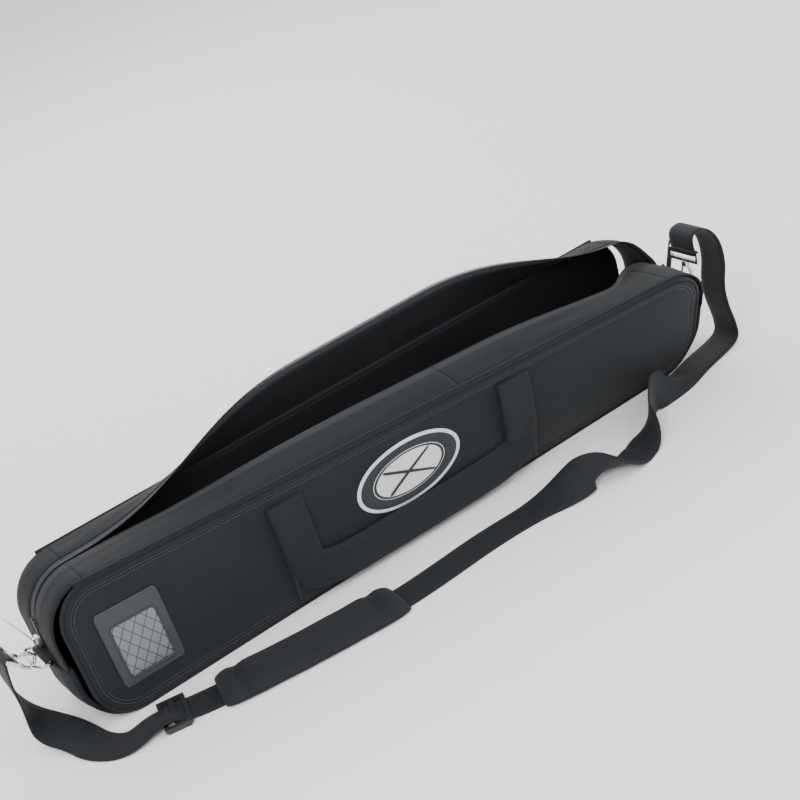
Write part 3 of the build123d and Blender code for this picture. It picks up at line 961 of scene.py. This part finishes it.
def edge_line(side, first, last, count, inward=0.0016, rise=0.0006):
    line = []
    for k in range(count + 1):
        place = first + (last - first) * k / count
        base, away, angle = gusset_station(side, place)
        full = gusset_width(side, place)
        normal = Vector((0, OUT[side] * sin(angle), 0)) + away * cos(angle)
        line.append((gusset_point(side, place, full - inward, rise), normal))
    return line


for side in ("front", "back"):
    for pattern, (first, last, steps, holder) in GUSSET_STRETCHES.items():
        name = pattern.format(side)
        first = down_to_split(side, -1) + 0.012 if first is None else first
        last = down_to_split(side, 1) - 0.012 if last is None else last
        line = edge_line(side, first, last, steps * 2)
        coil = repeat_along(name + "_zip_coil", [line], along_line, coil_loop, zip_nylon.material, COIL_PITCH)
        hang_on(coil, holder)
        if pattern == "{}_lip_left":
            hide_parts(side + "_zip_coil")


# ---------------------------------------------------------------------------
# Bottom gusset: one strip of padded cloth under the bag and part of the way up both
# ends, where it is sewn to the zip gusset. The ends swell out and the bottom lies flat.


def bottom_station(side, place):
    """A seam point of the bottom gusset, by distance from the middle of the bottom."""
    sign = -1.0 if place < 0 else 1.0
    straight = GUSSET_HALF - TURN
    run = abs(place)
    quarter = TURN * pi / 2
    turn = min(max(0.0, run - straight), quarter) / TURN
    x = sign * (min(run, straight) + TURN * sin(turn))
    z = TURN - TURN * cos(turn) + max(0.0, run - straight - quarter)
    away = Vector((sign * sin(turn), 0, -cos(turn)))
    inside = Vector((sign * min(abs(x), HALF), 0, max(z, 0.0)))
    point = wall(side, inside.x, inside.z, 0.0055)
    return Vector((x, point.y, z)), away


end_run = GUSSET_HALF - TURN + TURN * pi / 2 + SPLIT_Z - TURN
outer, inner = [], []
places = [-end_run + 2 * end_run * k / 150 for k in range(151)]
for place in places:
    front_seam, away = bottom_station("front", place)
    back_seam, _ = bottom_station("back", place)
    upright = abs(away.x)
    top, under = [], []
    for j in range(25):
        t = j / 24
        belly = sin(pi * t) ** 0.7
        soft = noise.noise(Vector((place * 8.0, t * 3.0, 2.0)))
        rise = (0.0065 * belly + 0.0030 * soft * belly) * upright ** 2 + 0.0006 * (1 - upright)
        p = front_seam.lerp(back_seam, t)
        top.append(p + away * rise)
        under.append(p - away * (0.0055 - 0.4 * rise))
    outer.append(top)
    inner.append(under)
for row in outer:
    for p in row:
        p.z = max(p.z, 0.0002)
bottom = closed_sheet("bottom_gusset_cloth", outer, inner, gusset_cloth, lining_cloth)
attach(bottom, "bag")
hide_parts("bottom_gusset", "bottom_foam", "bottom_lining")

# The loose base board in its lining sleeve, dished a little in the middle.
board_low, board_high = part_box("base_board")
outer, inner = [], []
for i in range(61):
    x = board_low[0] + (board_high[0] - board_low[0]) * i / 60
    top, under = [], []
    for j in range(17):
        y = board_low[1] + (board_high[1] - board_low[1]) * j / 16
        edge_in = min(x - board_low[0], board_high[0] - x, y - board_low[1], board_high[1] - y)
        wave = noise.noise(Vector((x * 12.0, y * 16.0, 9.0)))
        rise = 0.0035 * min(1.0, edge_in / 0.02) + 0.0015 * wave * min(1.0, edge_in / 0.01)
        top.append(Vector((x, y, board_high[2] + rise)))
        under.append(Vector((x, y, board_low[2])))
    outer.append(top)
    inner.append(under)
board = closed_sheet("base_board_sleeve", outer, inner, lining_cloth, lining_cloth)
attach(board, "bag")
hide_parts("base_board")


# ---------------------------------------------------------------------------
# Carry handles: webbing sewn up each side in two strips, folded over at the top, with
# the free loop between them hanging down over the strips and along the foot of the side.

handle_webbing = webbing_finish("handle webbing", (0.0120, 0.0138, 0.0160))
STRIP_X = 0.169
STRIP_LOW, STRIP_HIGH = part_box("front_handle_strips")[0][2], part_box("front_handle_strips")[1][2]


def off_side(side, x, z, rise):
    """A point rise metres outside the swollen cloth of a side."""
    return wall(side, x, z, -outer_rise(side, x, z) - rise)


for side in ("front", "back"):
    face = Vector((0, OUT[side], 0))
    for sign, name in ((-1, "left"), (1, "right")):
        centres, wides = [], []
        for k in range(19):
            z = STRIP_LOW + (STRIP_HIGH - STRIP_LOW) * k / 18
            centres.append(off_side(side, sign * STRIP_X, z, 0.0014))
            wides.append(Vector((1, 0, 0)))
        strip = webbing(f"{side}_handle_strip_{name}", centres, wides, handle_webbing)
        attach(strip, "bag")
        if sign == -1:
            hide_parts(side + "_handle_strips")
    controls = []
    for sign in (-1, 1):
        leg = [
            (sign * STRIP_X, STRIP_HIGH - 0.001, 0.0040),
            (sign * STRIP_X, STRIP_HIGH - 0.020, 0.0062),
            (sign * STRIP_X, STRIP_HIGH - 0.055, 0.0060),
            (sign * STRIP_X, STRIP_HIGH - 0.085, 0.0062),
            (sign * (STRIP_X - 0.004), 0.046, 0.0075),
            (sign * (STRIP_X - 0.046), 0.037, 0.0105),
            (sign * (STRIP_X - 0.100), 0.036, 0.0110),
        ]
        controls += leg if sign < 0 else leg[::-1]
    line = spline_points(side + " handle", [off_side(side, x, z, r) for x, z, r in controls], 8)
    wides = []
    for i in range(len(line)):
        ahead = line[min(i + 1, len(line) - 1)] - line[max(i - 1, 0)]
        wides.append(ahead.cross(face).normalized())
    loop = webbing(side + "_handle_loop_webbing", line, wides, handle_webbing)
    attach(loop, side + "_handle")
    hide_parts(side + "_handle_loop")


# ---------------------------------------------------------------------------
# End tabs: folded webbing sewn into the gusset at each end, holding a wire D-ring.

for end, sign in (("left", -1.0), ("right", 1.0)):
    low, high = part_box(end + "_tab")
    root = Vector((sign * (GUSSET_HALF - 0.002), (low[1] + high[1]) / 2, SPLIT_Z + 0.004))
    tip_x = low[0] if end == "left" else high[0]
    tip_z = high[2] - 0.0048 if end == "left" else low[2] + 0.0048
    tip = Vector((tip_x, root.y, tip_z))
    ahead = (tip - root).normalized()
    upward = Vector((0, 1, 0)).cross(ahead) * sign * -1.0
    bar = tip - ahead * 0.0048
    centres = [root + upward * 0.0016, root.lerp(bar, 0.5) + upward * 0.0022]
    for k in range(9):
        turn = pi / 2 - pi * k / 8
        centres.append(bar + (upward * sin(turn) + ahead * cos(turn)) * 0.0036)
    centres += [root.lerp(bar, 0.5) - upward * 0.0022, root - upward * 0.0016]
    tab = webbing(end + "_end_tab", centres, [Vector((0, 1, 0))] * len(centres), handle_webbing)
    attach(tab, "bag")
    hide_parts(end + "_tab")


# ---------------------------------------------------------------------------
# Oval badge: a woven patch with a pale border, a dark band and a pale field, and two
# crossed drumsticks on the field.

BADGE = (0.0, 0.104, 0.070, 0.046)
thread_white = cloth_finish("white thread", (0.62, 0.63, 0.64), 0.0009, 0.5, 0.1)
thread_dark = cloth_finish("dark thread", (0.030, 0.033, 0.037), 0.0009, 0.5, 0.05)


def badge_point(x, z, rise):
    turn = radians(4.0)
    px = BADGE[0] + x * cos(turn) - z * sin(turn)
    pz = BADGE[1] + x * sin(turn) + z * cos(turn)
    return off_side("front", px, pz, rise)


def oval(name, wide, high, low_rise, high_rise, material, hole=0.0):
    """An oval of thread standing off the side's cloth, or an oval ring."""
    outer, inner = [], []
    rings = [1.0, 0.995, 0.97] + [0.97 - 0.97 * k / 8 for k in range(1, 9)]
    if hole:
        rings = [1.0, 0.985, 0.5 + hole / 2, hole + 0.01, hole]
    for part in rings:
        lift = high_rise if part not in (1.0, hole) else low_rise
        outer.append([
            badge_point(wide * part * cos(2 * pi * k / 72), high * part * sin(2 * pi * k / 72), lift)
            for k in range(72)
        ])
    piece = surface(name, outer, material, close_columns=True)
    for loop in piece.data.loops:
        p = piece.data.vertices[loop.vertex_index].co
        piece.data.uv_layers["cloth"].data[loop.index].uv = (p.x, p.z)
    thick = piece.modifiers.new("thick", "SOLIDIFY")
    thick.thickness = 0.0006
    settle(piece)
    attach(piece, "bag")
    return piece


badge = oval("badge_border", 0.0785, 0.0465, 0.0006, 0.0016, thread_white)
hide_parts("emblem_patch")
oval("badge_band", 0.0735, 0.0418, 0.0014, 0.0021, thread_dark, hole=0.74)
oval("badge_rim", 0.0535, 0.0300, 0.0018, 0.0026, thread_dark, hole=0.93)
for number, slope in ((1, 28.0), (2, -28.0)):
    centres = []
    for k in range(25):
        t = -1 + 2 * k / 24
        x, z = 0.040 * t * cos(radians(slope)), 0.040 * t * sin(radians(slope))
        centres.append(badge_point(x, z, 0.0022 + 0.0004 * number))
    rows = []
    for k, centre in enumerate(centres):
        t = -1 + 2 * k / 24
        radius = 0.0019 - 0.0006 * max(0.0, t) + (0.0011 if t > 0.93 else 0.0)
        radius *= sqrt(max(0.05, 1 - abs(t) ** 30))
        ahead = (centres[min(k + 1, 24)] - centres[max(k - 1, 0)]).normalized()
        one = ahead.cross(Vector((0, -1, 0))).normalized()
        two = ahead.cross(one)
        turns = [2 * pi * m / 10 for m in range(10)]
        rows.append([centre + one * (radius * cos(turn)) + two * (0.0007 * sin(turn)) for turn in turns])
    stick = surface(f"badge_stick_{number}", rows, thread_dark, close_columns=True)
    settle(stick)
    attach(stick, "bag")


# ---------------------------------------------------------------------------
# Card window: a soft vinyl frame with rounded corners round a glossy grey card, which is
# printed with a plain diamond lattice.

window_low, window_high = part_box("window_frame")
pane_low, pane_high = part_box("window_pane")
vinyl = Finish("window vinyl", Specular_IOR_Level=0.4)
place = vinyl.node("ShaderNodeTexCoord", out=3)
grain = vinyl.node("ShaderNodeTexVoronoi", {"feature": "F1"}, {"Vector": place, "Scale": 900.0})
patch = vinyl.cloud(place, 40.0)
vinyl_grey = vinyl.blend_colours(patch, (0.022, 0.026, 0.031, 1), (0.034, 0.039, 0.046, 1))
vinyl.feed(vinyl.skin.inputs["Base Color"], vinyl_grey)
vinyl.feed(vinyl.skin.inputs["Roughness"], patch * 0.2 + 0.42)
vinyl.feed(vinyl.skin.inputs["Normal"], vinyl.bump(grain, 0.0002, 0.4))

card = Finish("window card", Coat_Weight=0.6, Coat_Roughness=0.12)
place, across_card, up_card = card.cloth_place()
CELL = 0.0155
slope_a = (across_card * 1.0 + up_card * 0.72) / CELL
slope_b = (across_card * 1.0 - up_card * 0.72) / CELL
line_a = (slope_a * pi).wave().size()
line_b = (slope_b * pi).wave().size()
lattice = line_a.least(line_b) < 0.16
mottle = card.cloud(place, 60.0)
grey = card.blend_colours(mottle, (0.085, 0.098, 0.112, 1), (0.14, 0.155, 0.17, 1))
card.feed(card.skin.inputs["Base Color"], card.blend_colours(lattice, grey, (0.020, 0.022, 0.026, 1)))
card.feed(card.skin.inputs["Roughness"], mottle * 0.15 + 0.35)


def rounded_grid(x0, x1, z0, z1, radius, columns, rows, rise):
    """A grid over a rounded rectangle lying on the front side's cloth."""
    grid = []
    for i in range(columns + 1):
        s = i / columns
        x = x0 + (x1 - x0) * s
        over = max(0.0, radius - min(x - x0, x1 - x))
        cut = radius - sqrt(max(0.0, radius ** 2 - over ** 2))
        low, high = z0 + cut, z1 - cut
        grid.append([off_side("front", x, low + (high - low) * j / rows, rise) for j in range(rows + 1)])
    return grid


frame_sheet = closed_sheet(
    "window_frame_vinyl",
    rounded_grid(window_low[0], window_high[0], window_low[2], window_high[2], 0.006, 40, 46, 0.0016),
    rounded_grid(window_low[0], window_high[0], window_low[2], window_high[2], 0.006, 40, 46, 0.0001),
    vinyl.material, vinyl.material,
)
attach(frame_sheet, "bag")
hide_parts("window_frame")
card_sheet = closed_sheet(
    "window_card_sheet",
    rounded_grid(pane_low[0], pane_high[0], pane_low[2], pane_high[2], 0.003, 24, 28, 0.0021),
    rounded_grid(pane_low[0], pane_high[0], pane_low[2], pane_high[2], 0.003, 24, 28, 0.0010),
    card.material, vinyl.material,
)
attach(card_sheet, "bag")
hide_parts("window_pane")
ledge = []
inner_x, inner_z = (pane_low[0] + pane_high[0]) / 2, (pane_low[2] + pane_high[2]) / 2
for k in range(80):
    turn = 2 * pi * k / 80
    c, s = cos(turn), sin(turn)
    half_x, half_z = (pane_high[0] - pane_low[0]) / 2 + 0.0008, (pane_high[2] - pane_low[2]) / 2 + 0.0008
    px = inner_x + half_x * (abs(c) ** 0.16) * (1 if c > 0 else -1)
    pz = inner_z + half_z * (abs(s) ** 0.16) * (1 if s > 0 else -1)
    ledge.append(off_side("front", px, pz, 0.0022))
welt = round_cord("window_welt", ledge, 0.0011, vinyl.material, sides=8)
settle(welt)
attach(welt, "bag")


# ---------------------------------------------------------------------------
# Stitching: lock stitches in black thread along the sides' seams, round the window, and in
# crossed boxes on the handle strips.

thread = Finish("black thread", Base_Color=(0.03, 0.032, 0.036, 1), Sheen_Weight=0.3)
thread_place = thread.node("ShaderNodeTexCoord", out=3)
thread.feed(thread.skin.inputs["Roughness"], thread.cloud(thread_place, 500.0) * 0.3 + 0.4)
stitch = small_item("stitch", 0.0030, 0.00085, 0.0008)


def side_line(side, places, rise=0.0003):
    face = Vector((0, OUT[side], 0.15))
    return [(off_side(side, x, z, rise), face) for x, z in places]


def straight(x0, z0, x1, z1):
    parts = max(2, int(hypot(x1 - x0, z1 - z0) / 0.008))
    return [(x0 + (x1 - x0) * k / parts, z0 + (z1 - z0) * k / parts) for k in range(parts + 1)]


for side in ("front", "back"):
    loops = [round_outline(side, -inset, 0.010) for inset in (0.0075, 0.0115)]
    lines = [side_line(side, loop + loop[:1]) for loop in loops]
    sewn = repeat_along(side + "_seam_stitches", lines, along_line, stitch, thread.material, 0.0042)
    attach(sewn, "bag")
    boxes = []
    for sign in (-1, 1):
        left, right = sign * STRIP_X - 0.0215, sign * STRIP_X + 0.0215
        top, foot = STRIP_HIGH - 0.006, STRIP_HIGH - 0.046
        runs = (
            (left, foot, left, top), (left, top, right, top), (right, top, right, foot),
            (right, foot, left, foot), (left, foot, right, top), (left, top, right, foot),
            (left, STRIP_LOW + 0.004, left, foot), (right, STRIP_LOW + 0.004, right, foot),
        )
        boxes += [side_line(side, straight(*run), 0.0030) for run in runs]
    sewn = repeat_along(side + "_handle_stitches", boxes, along_line, stitch, thread.material, 0.0040)
    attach(sewn, "bag")
inset = 0.0035
x0, x1 = window_low[0] + inset, window_high[0] - inset
z0, z1 = window_low[2] + inset, window_high[2] - inset
runs = ((x0, z0, x1, z0), (x1, z0, x1, z1), (x1, z1, x0, z1), (x0, z1, x0, z0))
window_lines = [side_line("front", straight(*run), 0.0020) for run in runs]
sewn = repeat_along("window_stitches", window_lines, along_line, stitch, thread.material, 0.0036)
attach(sewn, "bag")


# ---------------------------------------------------------------------------
# Metal: nickel plated rings, snap hooks and left zip slider, a dark enamelled slider at the
# right, and the black moulded buckle on the strap.


def metal_finish(name, bright, dull, roughness, metallic):
    f = Finish(name, Metallic=metallic)
    place = f.node("ShaderNodeTexCoord", out=3)
    wear = f.cloud(place, 160.0, 4.0)
    fine_marks = f.cloud(place, 900.0, 2.0)
    f.feed(f.skin.inputs["Base Color"], f.blend_colours(wear, dull, bright))
    f.feed(f.skin.inputs["Roughness"], wear * 0.18 + fine_marks * 0.08 + roughness)
    f.feed(f.skin.inputs["Normal"], f.bump(fine_marks, 0.00005, 0.3))
    return f.material


nickel = metal_finish("nickel plate", (0.78, 0.78, 0.79, 1), (0.55, 0.55, 0.56, 1), 0.12, 1.0)
enamel = metal_finish("dark enamel", (0.10, 0.10, 0.11, 1), (0.05, 0.05, 0.055, 1), 0.24, 0.7)
moulded = metal_finish("moulded plastic", (0.022, 0.023, 0.026, 1), (0.012, 0.013, 0.015, 1), 0.28, 0.0)


def dress(node, material):
    """Give a CAD node's object one material."""
    for thing in bpy.data.objects:
        if thing.type == "MESH" and (thing.name == node or thing.get("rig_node") == node):
            thing.data.materials.clear()
            thing.data.materials.append(material)


for end in ("left", "right"):
    for part in ("_d_ring", "_hook", "_hook_gate", "_hook_eye"):
        dress(end + part, nickel)
    for part in ("_zip_slider", "_zip_pull"):
        dress(end + part, nickel if end == "left" else enamel)
    dress(end + "_zip_end_tapes", tape_cloth)
    dress(end + "_zip_end_coils", zip_nylon.material)
    dress(end + "_strap_fold", strap_webbing)
dress("triglide", moulded)
